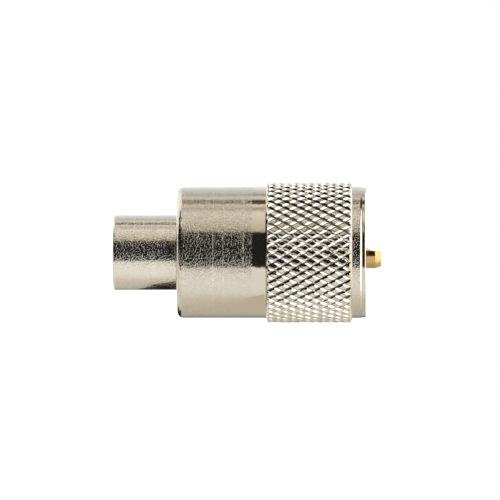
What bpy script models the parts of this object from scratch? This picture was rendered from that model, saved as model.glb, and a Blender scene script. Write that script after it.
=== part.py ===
"""Models a male UHF coaxial cable plug of the solder type, standing on its cable end.

Four pieces: the turned body with its tail, the knurled coupling ring that spins on it, the insulator
and the hollow centre contact. The plug's axis is +Z and the origin lies on it, at the end of the tail.
"""

import math

import bmesh
import bpy
from mathutils import Matrix

MM = 0.001

# Fits
RUNNING_GAP = 0.3 * MM  # between the coupling ring and what it turns on
SEAT_GAP = 0.3 * MM  # between pieces that are seated in each other

# Body: tail, barrel, flange and collar, from the cable end up
CABLE_BORE = 6.4 * MM
TAIL_WALL = 1.6 * MM
TAIL_LENGTH = 10.6 * MM
TAIL_EDGE_ROUND = 0.25 * MM
BORE_CHAMFER = 0.4 * MM
BARREL_RISE = 1.4 * MM  # from the tail's side out to the barrel's
BARREL_LENGTH = 9.9 * MM
BARREL_CHAMFER = 0.6 * MM
FLANGE_RISE = 0.875 * MM  # from the barrel's side out to the flange's
FLANGE_THICKNESS = 2.5 * MM
FLANGE_CHAMFER = 0.3 * MM
SHOULDER_WIDTH = 0.975 * MM  # from the flange's side in to the collar's
COLLAR_WALL = 0.9 * MM
COLLAR_HEIGHT = 1.2 * MM
COLLAR_CHAMFER = 0.15 * MM
TANG_COUNT = 4
TANG_WIDTH = 1.6 * MM
TANG_HEIGHT = 0.7 * MM
TANG_INSET = 0.15 * MM  # from each side of the collar's wall
SOLDER_HOLE = 2.6 * MM
SOLDER_HOLE_OFFSET = 3.2 * MM  # from the barrel's shoulder to the holes' centres
SOLDER_HOLE_PAIRS = 2

# Insulator
INSULATOR_THICKNESS = 6.2 * MM
INSULATOR_RECESS = 0.7 * MM  # from the collar's rim down to the insulator's face
INSULATOR_CHAMFER = 0.2 * MM
POCKET_DEPTH = 2.4 * MM  # for the contact's flange

# Centre contact
CONTACT_DIAMETER = 4.0 * MM
CONTACT_WALL = 0.8 * MM
CONTACT_REACH = 11.45 * MM  # from the body flange's front to the tip
CONTACT_FLANGE_RISE = 0.8 * MM  # from the pin's side out to its flange's
CONTACT_FLANGE_THICKNESS = 1.2 * MM
CONTACT_TAIL = 0.9 * MM  # behind the contact's flange
FUNNEL_DEPTH = 0.4 * MM
NOSE_LENGTH = 0.75 * MM
NOSE_TAPER = 0.25 * MM  # from the pin's side in to the tip's
SCOOP_RADIUS = 1.5 * MM
SCOOP_LENGTH = 0.78 * MM  # flat stretch of the cut, behind the tip
SCOOP_LAND = 0.2 * MM  # from the axis out to the flat of the cut

# Coupling ring
RING_WALL = 1.025 * MM  # of the smooth sleeve, over the crests of the internal thread
NECK_LENGTH = 11.96 * MM  # behind the step that stops on the flange
THREAD_LENGTH = 12.3 * MM  # in front of the step
THREAD_LEAD_IN = 0.4 * MM
RING_REAR_ROUND = 0.76 * MM
NECK_CHAMFER = 0.3 * MM
RIM_CHAMFER = 0.19 * MM
RIM_STEP_DEPTH = 0.06 * MM
RIM_STEP_FRONT = 0.53 * MM  # from the front edge
RIM_STEP_SLOPE = 0.28 * MM

# Diamond knurl
KNURL_RISE = 0.6 * MM  # from the smooth sleeve out to the knurl's crests
KNURL_LENGTH = 11.1 * MM
RIM_LENGTH = 1.74 * MM  # plain rim in front of the knurl
KNURL_PITCH = 1.178 * MM  # round the ring
KNURL_HALF_PITCH = 0.973 * MM  # along the ring
GROOVE_DEPTH = 0.45 * MM
GROOVE_WIDTH = 0.42 * MM
KNURL_BEVEL = 0.2 * MM

# Facets
RING_SEGMENTS = 72
BODY_SEGMENTS = 48
INSULATOR_SEGMENTS = 32
CONTACT_SEGMENTS = 24
HOLE_SEGMENTS = 16
REAR_ROUND_STEPS = 4
TAIL_ROUND_STEPS = 2
TANG_STEPS = 2
SCOOP_STEPS = 8
SMOOTH_BELOW_DEG = 28
MERGE_DISTANCE = 0.001 * MM

# Heights and radii that several pieces share
FLANGE_BACK = TAIL_LENGTH + BARREL_LENGTH
FLANGE_FRONT = FLANGE_BACK + FLANGE_THICKNESS
COLLAR_TOP = FLANGE_FRONT + COLLAR_HEIGHT
INSULATOR_FRONT = COLLAR_TOP - INSULATOR_RECESS
INSULATOR_BACK = INSULATOR_FRONT - INSULATOR_THICKNESS
SEAT_FLOOR = INSULATOR_BACK - SEAT_GAP
POCKET_FLOOR = INSULATOR_BACK + POCKET_DEPTH
RING_STEP = FLANGE_BACK - RUNNING_GAP
RING_BACK = RING_STEP - NECK_LENGTH
RING_FRONT = RING_STEP + THREAD_LENGTH
KNURL_FRONT = RING_FRONT - RIM_LENGTH
KNURL_BACK = KNURL_FRONT - KNURL_LENGTH
BORE_RADIUS = CABLE_BORE / 2
TAIL_RADIUS = BORE_RADIUS + TAIL_WALL
BARREL_RADIUS = TAIL_RADIUS + BARREL_RISE
FLANGE_RADIUS = BARREL_RADIUS + FLANGE_RISE
COLLAR_RADIUS = FLANGE_RADIUS - SHOULDER_WIDTH
SEAT_RADIUS = COLLAR_RADIUS - COLLAR_WALL
NECK_RADIUS = BARREL_RADIUS + RUNNING_GAP
THREAD_RADIUS = FLANGE_RADIUS + RUNNING_GAP
RING_RADIUS = THREAD_RADIUS + RING_WALL
KNURL_RADIUS = RING_RADIUS + KNURL_RISE
CONTACT_RADIUS = CONTACT_DIAMETER / 2
CONTACT_FLANGE_RADIUS = CONTACT_RADIUS + CONTACT_FLANGE_RISE


def principled(name, color, metallic, roughness):
    """A plain Principled BSDF finish."""
    finish = bpy.data.materials.new(name)
    finish.use_nodes = True
    shader = finish.node_tree.nodes["Principled BSDF"]
    shader.inputs["Base Color"].default_value = (*color, 1.0)
    shader.inputs["Metallic"].default_value = metallic
    shader.inputs["Roughness"].default_value = roughness
    return finish


def add_object(name, mesh, collection):
    """Links a new object to a collection."""
    item = bpy.data.objects.new(name, mesh)
    collection.objects.link(item)
    return item


def arc(center, radius, start_deg, end_deg, steps):
    """Points of an arc in a plane, round a centre, from one angle to another."""
    angles = [math.radians(start_deg + (end_deg - start_deg) * step / steps) for step in range(steps + 1)]
    return [(center[0] + radius * math.cos(a), center[1] + radius * math.sin(a)) for a in angles]


def turned(name, outline, segments, collection):
    """Turns a closed outline of (radius, height) points, down its outer side and up its inner one."""
    bm = bmesh.new()
    corners = [bm.verts.new((radius, 0.0, height)) for radius, height in outline]
    for start, end in zip(corners, corners[1:] + corners[:1]):
        bm.edges.new((start, end))
    mesh = bpy.data.meshes.new(name)
    bm.to_mesh(mesh)
    bm.free()
    piece = add_object(name, mesh, collection)
    screw = piece.modifiers.new("Turn", "SCREW")
    screw.axis = "Z"
    screw.angle = math.tau
    screw.steps = segments
    screw.render_steps = segments
    screw.use_merge_vertices = True
    screw.merge_threshold = MERGE_DISTANCE
    return piece


def tool_from(name, bm, tools):
    """Makes a hidden Boolean tool of a closed bmesh, with its faces pointing out."""
    bmesh.ops.recalc_face_normals(bm, faces=bm.faces)
    mesh = bpy.data.meshes.new(name)
    bm.to_mesh(mesh)
    bm.free()
    tool = add_object(name, mesh, tools)
    tool.hide_render = True
    tool.display_type = "WIRE"
    return tool


def combine(piece, tool, operation):
    """Joins a tool to a piece, or cuts it away."""
    boolean = piece.modifiers.new(tool.name, "BOOLEAN")
    boolean.operation = operation
    boolean.solver = "EXACT"
    boolean.object = tool


def finish_piece(piece, finish):
    """Applies a piece's modifiers, shades its round faces smooth and gives it its finish."""
    bpy.context.view_layer.update()
    graph = bpy.context.evaluated_depsgraph_get()
    mesh = bpy.data.meshes.new_from_object(piece.evaluated_get(graph))
    mesh.name = piece.name
    piece.modifiers.clear()
    piece.data = mesh
    mesh.shade_smooth()
    mesh.set_sharp_from_angle(angle=math.radians(SMOOTH_BELOW_DEG))
    mesh.materials.clear()
    mesh.materials.append(finish)
    return piece


def extrude_loop(bm, edges, radius, height):
    """Extrudes an open loop of edges to a new radius and height, and gives the new loop."""
    extruded = bmesh.ops.extrude_edge_only(bm, edges=edges)["geom"]
    for vert in extruded:
        if isinstance(vert, bmesh.types.BMVert):
            scale = radius / math.hypot(vert.co.x, vert.co.y)
            vert.co = (vert.co.x * scale, vert.co.y * scale, height)
    return [edge for edge in extruded if isinstance(edge, bmesh.types.BMEdge) and edge.is_boundary]


def knurl_lattice(bm, root_radius):
    """Covers the knurl's root cylinder with diamonds whose edges are the bottoms of the grooves."""
    teeth = round(math.tau * KNURL_RADIUS / KNURL_PITCH)
    plain_length = KNURL_LENGTH - 2 * KNURL_BEVEL
    bands = round(plain_length / KNURL_HALF_PITCH)
    bmesh.ops.create_grid(bm, x_segments=teeth, y_segments=bands, size=1.0)
    row_of = {}
    for vert in bm.verts:
        row = round((vert.co.y + 1.0) / 2.0 * bands)
        column = (vert.co.x + 1.0) / 2.0 * teeth + 0.5 * (row % 2)
        angle = math.tau * column / teeth
        height = KNURL_BACK + KNURL_BEVEL + plain_length * row / bands
        vert.co = (root_radius * math.cos(angle), root_radius * math.sin(angle), height)
        row_of[vert] = row
    bmesh.ops.triangulate(bm, faces=bm.faces, quad_method="SHORT_EDGE")
    inside = range(1, bands)
    along_rows = [edge for edge in bm.edges if row_of[edge.verts[0]] == row_of[edge.verts[1]]]
    hidden = [edge for edge in along_rows if row_of[edge.verts[0]] in inside]
    bmesh.ops.dissolve_edges(bm, edges=hidden, use_verts=False)
    bmesh.ops.remove_doubles(bm, verts=bm.verts, dist=MERGE_DISTANCE)
    return list(bm.faces)


def knurl_sleeve(tools):
    """The knurled band: flat-topped diamonds between two crossing families of V grooves, bevelled
    at both ends, on a sleeve that is buried in the ring's wall."""
    root_radius = KNURL_RADIUS - GROOVE_DEPTH
    buried_radius = 2 * RING_RADIUS - root_radius
    inner_radius = (RING_RADIUS + THREAD_RADIUS) / 2
    bm = bmesh.new()
    diamonds = knurl_lattice(bm, root_radius)
    open_edges = [edge for edge in bm.edges if edge.is_boundary]
    middle = (KNURL_BACK + KNURL_FRONT) / 2
    back = [edge for edge in open_edges if edge.verts[0].co.z < middle]
    front = [edge for edge in open_edges if edge.verts[0].co.z > middle]
    back = extrude_loop(bm, back, buried_radius, KNURL_BACK - KNURL_BEVEL)
    back = extrude_loop(bm, back, inner_radius, KNURL_BACK - KNURL_BEVEL)
    front = extrude_loop(bm, front, buried_radius, KNURL_FRONT + KNURL_BEVEL)
    front = extrude_loop(bm, front, inner_radius, KNURL_FRONT + KNURL_BEVEL)
    bmesh.ops.bridge_loops(bm, edges=back + front)
    bmesh.ops.recalc_face_normals(bm, faces=bm.faces)
    bmesh.ops.inset_individual(
        bm, faces=diamonds, thickness=GROOVE_WIDTH / 2, depth=GROOVE_DEPTH, use_even_offset=True
    )
    return tool_from("knurl_sleeve", bm, tools)


def coupling_ring(collection, tools):
    """The turned and knurled ring. Its neck bore turns on the barrel, the step in it stops on the
    body's flange, and its wide bore runs over the crests of the internal thread."""
    lip = RING_RADIUS - RIM_STEP_DEPTH
    round_center = (RING_RADIUS - RING_REAR_ROUND, RING_BACK + RING_REAR_ROUND)
    outline = [
        (lip - RIM_CHAMFER, RING_FRONT),
        (lip, RING_FRONT - RIM_CHAMFER),
        (lip, RING_FRONT - RIM_STEP_FRONT),
        (RING_RADIUS, RING_FRONT - RIM_STEP_FRONT - RIM_STEP_SLOPE),
        *arc(round_center, RING_REAR_ROUND, 0, -90, REAR_ROUND_STEPS),
        (NECK_RADIUS + NECK_CHAMFER, RING_BACK),
        (NECK_RADIUS, RING_BACK + NECK_CHAMFER),
        (NECK_RADIUS, RING_STEP),
        (THREAD_RADIUS, RING_STEP),
        (THREAD_RADIUS, RING_FRONT - THREAD_LEAD_IN),
        (THREAD_RADIUS + THREAD_LEAD_IN, RING_FRONT),
    ]
    ring = turned("coupling_ring", outline, RING_SEGMENTS, collection)
    combine(ring, knurl_sleeve(tools), "UNION")
    nickel = principled("polished_nickel_plate", (0.72, 0.69, 0.63), 1.0, 0.22)
    return finish_piece(ring, nickel)


def locating_tangs(tools):
    """Short arcs of wall that stand on the collar's rim and enter the notches of the socket."""
    inner = SEAT_RADIUS + TANG_INSET
    outer = COLLAR_RADIUS - TANG_INSET
    foot = COLLAR_TOP - TANG_HEIGHT / 2
    top = COLLAR_TOP + TANG_HEIGHT
    sweep = TANG_WIDTH / outer
    bm = bmesh.new()
    for index in range(TANG_COUNT):
        corners = [(inner, foot), (outer, foot), (outer, top), (inner, top)]
        section = bm.faces.new([bm.verts.new((radius, 0.0, height)) for radius, height in corners])
        start = Matrix.Rotation(math.tau * index / TANG_COUNT - sweep / 2, 3, "Z")
        bmesh.ops.rotate(bm, verts=section.verts, cent=(0, 0, 0), matrix=start)
        bmesh.ops.spin(
            bm, geom=[section], cent=(0, 0, 0), axis=(0, 0, 1), angle=sweep, steps=TANG_STEPS
        )
    return tool_from("locating_tangs", bm, tools)


def solder_drill(index, tools):
    """One drill across the whole barrel, which makes two opposite solder holes. It is rolled half a
    facet, so that its corners pass between the barrel's edges."""
    bm = bmesh.new()
    bmesh.ops.create_cone(
        bm,
        cap_ends=True,
        segments=HOLE_SEGMENTS,
        radius1=SOLDER_HOLE / 2,
        radius2=SOLDER_HOLE / 2,
        depth=4 * BARREL_RADIUS,
    )
    roll = Matrix.Rotation(math.pi / HOLE_SEGMENTS, 4, "Z")
    lay_down = Matrix.Rotation(math.pi / 2, 4, "Y")
    turn = Matrix.Rotation(math.pi * index / SOLDER_HOLE_PAIRS, 4, "Z")
    lift = Matrix.Translation((0, 0, TAIL_LENGTH + SOLDER_HOLE_OFFSET))
    bmesh.ops.transform(bm, verts=bm.verts, matrix=lift @ turn @ lay_down @ roll)
    return tool_from(f"solder_drill_{index + 1}", bm, tools)


def connector_body(collection, tools):
    """The turned body: tail, barrel, flange and collar outside, cable bore and insulator seat inside."""
    tail_round = (TAIL_RADIUS - TAIL_EDGE_ROUND, TAIL_EDGE_ROUND)
    outline = [
        (COLLAR_RADIUS - COLLAR_CHAMFER, COLLAR_TOP),
        (COLLAR_RADIUS, COLLAR_TOP - COLLAR_CHAMFER),
        (COLLAR_RADIUS, FLANGE_FRONT),
        (FLANGE_RADIUS - FLANGE_CHAMFER, FLANGE_FRONT),
        (FLANGE_RADIUS, FLANGE_FRONT - FLANGE_CHAMFER),
        (FLANGE_RADIUS, FLANGE_BACK),
        (BARREL_RADIUS, FLANGE_BACK),
        (BARREL_RADIUS, TAIL_LENGTH + BARREL_CHAMFER),
        (BARREL_RADIUS - BARREL_CHAMFER, TAIL_LENGTH),
        (TAIL_RADIUS, TAIL_LENGTH),
        *arc(tail_round, TAIL_EDGE_ROUND, 0, -90, TAIL_ROUND_STEPS),
        (BORE_RADIUS + BORE_CHAMFER, 0.0),
        (BORE_RADIUS, BORE_CHAMFER),
        (BORE_RADIUS, SEAT_FLOOR),
        (SEAT_RADIUS, SEAT_FLOOR),
        (SEAT_RADIUS, COLLAR_TOP),
    ]
    body = turned("connector_body", outline, BODY_SEGMENTS, collection)
    combine(body, locating_tangs(tools), "UNION")
    for index in range(SOLDER_HOLE_PAIRS):
        combine(body, solder_drill(index, tools), "DIFFERENCE")
    nickel = principled("satin_nickel_plate", (0.70, 0.67, 0.61), 1.0, 0.30)
    return finish_piece(body, nickel)


def insulator(collection):
    """The moulded disc that centres the contact, with a pocket behind for the contact's flange."""
    outer = SEAT_RADIUS - SEAT_GAP
    pocket = CONTACT_FLANGE_RADIUS + SEAT_GAP
    bore = CONTACT_RADIUS + SEAT_GAP
    outline = [
        (outer - INSULATOR_CHAMFER, INSULATOR_FRONT),
        (outer, INSULATOR_FRONT - INSULATOR_CHAMFER),
        (outer, INSULATOR_BACK + INSULATOR_CHAMFER),
        (outer - INSULATOR_CHAMFER, INSULATOR_BACK),
        (pocket, INSULATOR_BACK),
        (pocket, POCKET_FLOOR),
        (bore, POCKET_FLOOR),
        (bore, INSULATOR_FRONT),
    ]
    disc = turned("insulator", outline, INSULATOR_SEGMENTS, collection)
    return finish_piece(disc, principled("white_fluoropolymer", (0.88, 0.87, 0.84), 0.0, 0.45))


def scoop_cutter(tip, tools):
    """The milled cut that opens the contact's tip into a half-round solder cup, on its -X side."""
    arc_height = tip - SCOOP_LENGTH
    clear = 2 * CONTACT_RADIUS
    cut = arc((-SCOOP_LAND - SCOOP_RADIUS, arc_height), SCOOP_RADIUS, 0, -90, SCOOP_STEPS)
    cut += [(-clear, arc_height - SCOOP_RADIUS), (-clear, tip + clear), (-SCOOP_LAND, tip + clear)]
    bm = bmesh.new()
    side = bm.faces.new([bm.verts.new((x, -clear, height)) for x, height in cut])
    swept = bmesh.ops.extrude_face_region(bm, geom=[side])["geom"]
    far_side = [vert for vert in swept if isinstance(vert, bmesh.types.BMVert)]
    bmesh.ops.translate(bm, verts=far_side, vec=(0, 2 * clear, 0))
    return tool_from("scoop_cutter", bm, tools)


def center_contact(collection, tools):
    """The hollow pin: a funnel behind for the wire, a flange that holds it, and a cut-open tip."""
    bore = CONTACT_RADIUS - CONTACT_WALL
    tip = FLANGE_FRONT + CONTACT_REACH
    flange_front = POCKET_FLOOR - SEAT_GAP
    flange_back = flange_front - CONTACT_FLANGE_THICKNESS
    tail_end = flange_back - CONTACT_TAIL
    outline = [
        (CONTACT_RADIUS - NOSE_TAPER, tip),
        (CONTACT_RADIUS, tip - NOSE_LENGTH),
        (CONTACT_RADIUS, flange_front),
        (CONTACT_FLANGE_RADIUS, flange_front),
        (CONTACT_FLANGE_RADIUS, flange_back),
        (CONTACT_RADIUS, flange_back),
        (CONTACT_RADIUS, tail_end),
        (bore + FUNNEL_DEPTH, tail_end),
        (bore, tail_end + FUNNEL_DEPTH),
        (bore, tip),
    ]
    contact = turned("center_contact", outline, CONTACT_SEGMENTS, collection)
    combine(contact, scoop_cutter(tip, tools), "DIFFERENCE")
    return finish_piece(contact, principled("gold_plate", (0.83, 0.62, 0.27), 1.0, 0.20))


def main():
    for item in list(bpy.data.objects):
        bpy.data.objects.remove(item, do_unlink=True)
    parts = bpy.data.collections.new("uhf_plug")
    tools = bpy.data.collections.new("boolean_tools")
    for collection in (parts, tools):
        bpy.context.scene.collection.children.link(collection)
    axis = add_object("plug_axis", None, parts)
    pieces = [
        connector_body(parts, tools),
        coupling_ring(parts, tools),
        insulator(parts),
        center_contact(parts, tools),
    ]
    for piece in pieces:
        piece.parent = axis


main()
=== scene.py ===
"""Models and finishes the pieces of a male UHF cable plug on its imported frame.

The plug stands on its cable end with its axis along +Z. The camera looks along +Y and is rolled, so that the
picture shows the plug lying down, with the cable end on the left and the top of the picture towards -X.
"""

import math
import random

import bmesh
import bpy
from mathutils import Matrix, Vector


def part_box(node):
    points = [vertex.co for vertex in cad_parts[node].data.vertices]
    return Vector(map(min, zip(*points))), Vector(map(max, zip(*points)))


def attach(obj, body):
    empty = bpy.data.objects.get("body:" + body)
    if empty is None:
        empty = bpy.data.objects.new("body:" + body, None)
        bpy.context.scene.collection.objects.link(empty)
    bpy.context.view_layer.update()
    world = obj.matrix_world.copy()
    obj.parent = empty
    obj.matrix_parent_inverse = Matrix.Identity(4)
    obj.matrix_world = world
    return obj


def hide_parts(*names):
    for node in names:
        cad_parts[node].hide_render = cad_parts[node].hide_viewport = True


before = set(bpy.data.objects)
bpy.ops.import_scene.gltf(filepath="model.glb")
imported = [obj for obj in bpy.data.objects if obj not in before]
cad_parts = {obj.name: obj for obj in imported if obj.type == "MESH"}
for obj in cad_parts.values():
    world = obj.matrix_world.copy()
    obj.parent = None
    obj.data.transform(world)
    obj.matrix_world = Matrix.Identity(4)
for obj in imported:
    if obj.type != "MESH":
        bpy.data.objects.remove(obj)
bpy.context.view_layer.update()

bl_info = {
    "name": "UHF Plug",
    "version": (1, 0, 0),
    "blender": (4, 5, 0),
    "location": "View3D > Sidebar > UHF Plug",
    "description": "Models and finishes a knurled UHF cable plug",
    "category": "Object",
}

MM = 0.001
MERGE_DISTANCE = 0.0005 * MM
# A face that is this close to a height lies at it
LEVEL_WITHIN = 0.01 * MM
RING_SEGMENTS = 192
BODY_SEGMENTS = 192
PIN_SEGMENTS = 96
THREAD_SEGMENTS = 96
DRILL_SEGMENTS = 48
SHARP_ABOVE_DEG = 32
# An outline's corner that turns less than this isn't rounded
CORNER_ABOVE_DEG = 10
# The contact's edges that turn more than this are rounded
EASED_ABOVE_DEG = 28
# Share of a short stretch of an outline that the rounding of a corner may take
EASE_SHARE = 0.4
# A stretch longer than this many times the rounding is held straight
HELD_ABOVE = 6

# Heights and radii that the frame gives
RING_LOW, RING_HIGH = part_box("coupling_ring")
INSULATOR_LOW, INSULATOR_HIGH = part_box("insulator")
CONTACT_LOW, CONTACT_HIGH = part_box("center_contact")


def length(name, description, millimetres):
    """A property that holds a length, with its default given in millimetres."""
    return bpy.props.FloatProperty(
        name=name, description=description, default=millimetres * MM, precision=6, unit="LENGTH"
    )


def share(name, description, default):
    """A property that holds a share from 0 to 1."""
    return bpy.props.FloatProperty(
        name=name, description=description, default=default, min=0.0, max=1.0, subtype="FACTOR"
    )


def in_degrees(name, description, degrees):
    """A property that holds an angle, with its default given in degrees."""
    return bpy.props.FloatProperty(
        name=name, description=description, default=math.radians(degrees), unit="ROTATION"
    )


def linear(hex_color):
    """Turns an sRGB hex colour to linear RGBA."""
    channels = [int(hex_color[start : start + 2], 16) / 255 for start in (1, 3, 5)]
    return (*[c / 12.92 if c <= 0.04045 else ((c + 0.055) / 1.055) ** 2.4 for c in channels], 1.0)


def color(name, description, hex_color):
    """A property that holds a colour, with its default given as sRGB hex."""
    return bpy.props.FloatVectorProperty(
        name=name,
        description=description,
        default=linear(hex_color),
        size=4,
        min=0.0,
        max=1.0,
        subtype="COLOR",
    )


class UhfRingSizes(bpy.types.PropertyGroup):
    """Sizes of the coupling ring, apart from its knurl"""

    neck: length("Neck radius", "Bore that turns on the barrel", 6.5)
    neck_chamfer: length("Neck chamfer", "Chamfer of that bore at the ring's rear", 0.3)
    neck_length: length("Neck length", "From the ring's rear to the step inside", 11.96)
    sleeve: length("Sleeve radius", "Smooth outside of the ring", 8.4)
    rear_round: length("Rear round", "Radius of the sleeve's rear edge", 0.76)
    rim_length: length("Rim length", "Plain rim in front of the knurl", 1.74)
    rim_drop: length("Rim drop", "Step down near the front edge", 0.06)
    rim_drop_front: length("Rim drop from front", "From the front edge back to the step", 0.48)
    rim_drop_slope: length("Rim drop slope", "Length of the step's slope", 0.24)
    lip_taper: length("Lip taper", "How much the lip in front of the step narrows", 0.025)
    rim_chamfer: length("Rim chamfer", "Chamfer of the front edge", 0.07)
    polished_length: length("Polished length", "Brighter strip behind the knurl", 1.7)
    polished_drop: length("Polished drop", "How much lower the brighter strip lies", 0.004)
    tool_marks: bpy.props.FloatVectorProperty(
        name="Tool marks",
        description="Heights over the ring's rear of three fine circles that the tool left",
        default=(4.73 * MM, 6.02 * MM, 8.61 * MM),
        size=3,
        precision=6,
        unit="LENGTH",
    )
    tool_mark_depth: length("Tool mark depth", "Depth of those circles", 0.01)
    tool_mark_half: length("Tool mark half", "Half the width of those circles", 0.025)
    edge_ease: length("Edge ease", "Rounding of the turned corners", 0.05)
    thread_root: length("Thread root radius", "Major radius of the 5/8 inch thread", 7.9375)
    thread_crest: length("Thread crest radius", "Minor radius of the thread", 7.375)
    thread_pitch: length("Thread pitch", "24 threads per inch", 1.0583)
    thread_flank: in_degrees("Thread flank", "Half of the thread's 60 degree angle", 30.0)
    mouth_gap: length("Mouth gap", "How much wider the mouth is than the thread's root", 0.05)
    relief: length("Relief radius", "Groove behind the thread", 8.0)
    relief_length: length("Relief length", "Length of the groove behind the thread", 1.0)


class UhfKnurlSizes(bpy.types.PropertyGroup):
    """Sizes of the knurled band and its diamonds"""

    length_along: length("Knurl length", "Length of the knurled band", 11.1)
    end_bevel: length("End bevel", "Turned bevel at each end of the band", 0.2)
    teeth: bpy.props.IntProperty(name="Teeth", description="Diamonds round the ring", default=48, min=8)
    bands: bpy.props.IntProperty(name="Bands", description="Half diamonds along the ring", default=11, min=3)
    depth: length("Groove depth", "From the crests to the bottom of the grooves", 0.26)
    flank: in_degrees("Flank angle", "Slope of a groove's side", 50.0)
    bottom: length("Groove bottom", "Half the width of a groove's bottom", 0.02)
    edge_round: length("Edge round", "Rounding of a diamond's edge", 0.07)
    crown: length("Crown height", "How much a diamond's middle stands over its edge", 0.02)
    crest_bevel: length("Crest bevel", "Bevel of the diamonds at the band's ends", 0.12)
    unevenness: length("Unevenness", "How far a diamond's height strays", 0.01)
    tile: in_degrees("Tile angle", "How far every top leans round the ring, as roof tiles do", 3.0)
    lean: in_degrees("Lean", "How far a diamond's top leans to any side, at most", 5.0)
    corner_round: share("Corner round", "Share by which a diamond's corners are drawn in at its top", 0.12)


class UhfBodySizes(bpy.types.PropertyGroup):
    """Sizes of the turned body"""

    cable_bore: length("Cable bore radius", "Bore for the cable", 3.2)
    tail: length("Tail radius", "Outside of the tail", 4.8)
    tail_length: length("Tail length", "From the cable end to the barrel", 10.6)
    tail_round: length("Tail edge round", "Rounding of the tail's end", 0.25)
    bore_chamfer: length("Bore chamfer", "Chamfer of the cable bore", 0.4)
    barrel: length("Barrel radius", "Part that the ring turns on", 6.2)
    barrel_length: length("Barrel length", "From the tail to the flange", 9.9)
    barrel_chamfer: length("Barrel chamfer", "Chamfer of the barrel's rear", 0.6)
    flange: length("Flange radius", "Stop for the ring", 7.075)
    flange_thickness: length("Flange thickness", "Thickness of the stop", 2.5)
    flange_chamfer: length("Flange chamfer", "Chamfer of the flange's front", 0.3)
    collar: length("Collar radius", "Raised collar that enters the socket", 6.1)
    collar_height: length("Collar height", "From the flange to the collar's rim", 1.2)
    seat: length("Seat radius", "Bore that holds the insulator", 5.2)
    seat_gap: length("Seat gap", "Room behind the insulator", 0.3)
    tang_width: length("Tang width", "Width of each locating tang", 1.6)
    tang_height: length("Tang height", "Height of the tangs over the rim", 0.7)
    tang_inset: length("Tang inset", "From each side of the collar's wall", 0.15)
    solder_hole: length("Solder hole radius", "Four holes in the barrel", 1.3)
    solder_hole_offset: length("Solder hole offset", "From the barrel's rear to the holes", 3.2)
    edge_ease: length("Edge ease", "Rounding of the turned corners", 0.06)


class UhfInnerSizes(bpy.types.PropertyGroup):
    """Sizes of the insulator and the contact"""

    disc_chamfer: length("Insulator edge", "Rounding of the insulator's edges", 0.2)
    pocket: length("Pocket radius", "Pocket for the contact's flange", 3.1)
    pocket_depth: length("Pocket depth", "Depth of the pocket", 2.4)
    disc_bore: length("Insulator bore radius", "Bore round the contact", 2.3)
    pin: length("Pin radius", "Outside of the contact", 2.0)
    pin_bore: length("Pin bore radius", "Bore for the wire", 1.2)
    pin_flange: length("Pin flange radius", "Flange that holds the contact", 2.8)
    pin_flange_thickness: length("Pin flange thickness", "Thickness of that flange", 1.2)
    pin_tail: length("Pin tail", "Behind the flange", 0.9)
    funnel: length("Funnel", "Countersink for the wire", 0.4)
    nose_length: length("Nose length", "Tapered end of the pin", 0.75)
    nose: length("Nose radius", "Radius at the tip", 1.75)
    scoop_radius: length("Scoop radius", "Radius of the cut-open tip", 1.5)
    scoop_length: length("Scoop length", "Flat stretch of the cut", 0.78)
    scoop_land: length("Scoop land", "From the axis to the flat of the cut", 0.2)
    edge_ease: length("Edge ease", "Rounding of the pin's edges", 0.04)


class UhfFinishes(bpy.types.PropertyGroup):
    """Colours of the finishes, and the relief that the tool and the plating leave"""

    nickel: color("Nickel", "Nickel plate seen square on", "#D8D2C5")
    nickel_warm: color("Warm nickel", "Where the plate has yellowed a little", "#D3CCBA")
    nickel_knurl: color("Knurl nickel", "Nickel plate on the knurl", "#D2CCBF")
    nickel_body: color("Body nickel", "Satin nickel plate of the body", "#E0DACD")
    gold: color("Gold", "Thin gold plate", "#D0B178")
    gold_deep: color("Deep gold", "Where the gold plate is thicker", "#C09A5E")
    fluoropolymer: color("Insulator", "White fluoropolymer", "#ECEAE4")
    fluoropolymer_cloud: color("Insulator cloud", "Its slightly darker clouds", "#E2DFD6")
    # The real strokes and pits are too fine to show, so they are drawn as coarse as this
    stroke_spacing: length("Stroke spacing", "Between the tool strokes along the plug", 0.3)
    stroke_depth: length("Stroke depth", "Depth of the tool strokes", 0.005)
    pit_size: length("Pit size", "Size of the pits in the plated surface", 0.18)
    pit_depth: length("Pit depth", "Depth of the pits", 0.01)
    wave_depth: length("Wave depth", "Height of the slow waves", 0.012)


class UhfStage(bpy.types.PropertyGroup):
    """Place of the camera, and the glowing patches that paint the table's shadow and shade into the metal's
    reflections
    """

    camera_distance: length("Camera distance", "From the camera to the plug's axis", 902.0)
    camera_height: length("Camera height", "Of the camera over the plug's cable end", 32.4)
    view_width: length("View width", "Width that the picture shows at the plug", 64.45)
    middle_height: length("Middle height", "Height at the middle of the picture", 17.57)
    middle_side: length("Middle side", "Place across the plug at the middle of the picture", -0.335)
    table_drop: length("Table drop", "From the plug's axis to the table that the metal mirrors", 9.4)
    # Painted shadow: colour of the glowing patch that the tail mirrors as the table's shadow beside the ring
    painted_table_shadow: color("Dark table", "The table as the tail mirrors it", "#2E2116")
    # Painted shade: colour of the glowing patch that the ring mirrors as the table lying in shade
    painted_table_shade: color("Pale table", "The table as the ring's sleeve mirrors it", "#DAD1C5")


def arc(center, radius, start_deg, end_deg, steps):
    """Points of an arc in a plane, round a centre, from one angle to another."""
    angles = [math.radians(start_deg + (end_deg - start_deg) * step / steps) for step in range(steps + 1)]
    return [(center[0] + radius * math.cos(a), center[1] + radius * math.sin(a)) for a in angles]


def held(outline, reach, closed):
    """Adds a point near both ends of every long stretch of an outline, so that it is shaded as straight."""
    points = [Vector(point) for point in outline]
    result = []
    for index, point in enumerate(points):
        result.append(tuple(point))
        if not closed and index == len(points) - 1:
            break
        stretch = points[(index + 1) % len(points)] - point
        if stretch.length > HELD_ABOVE * reach:
            hold = stretch.normalized() * reach
            result += [tuple(point + hold), tuple(point + stretch - hold)]
    return result


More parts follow.
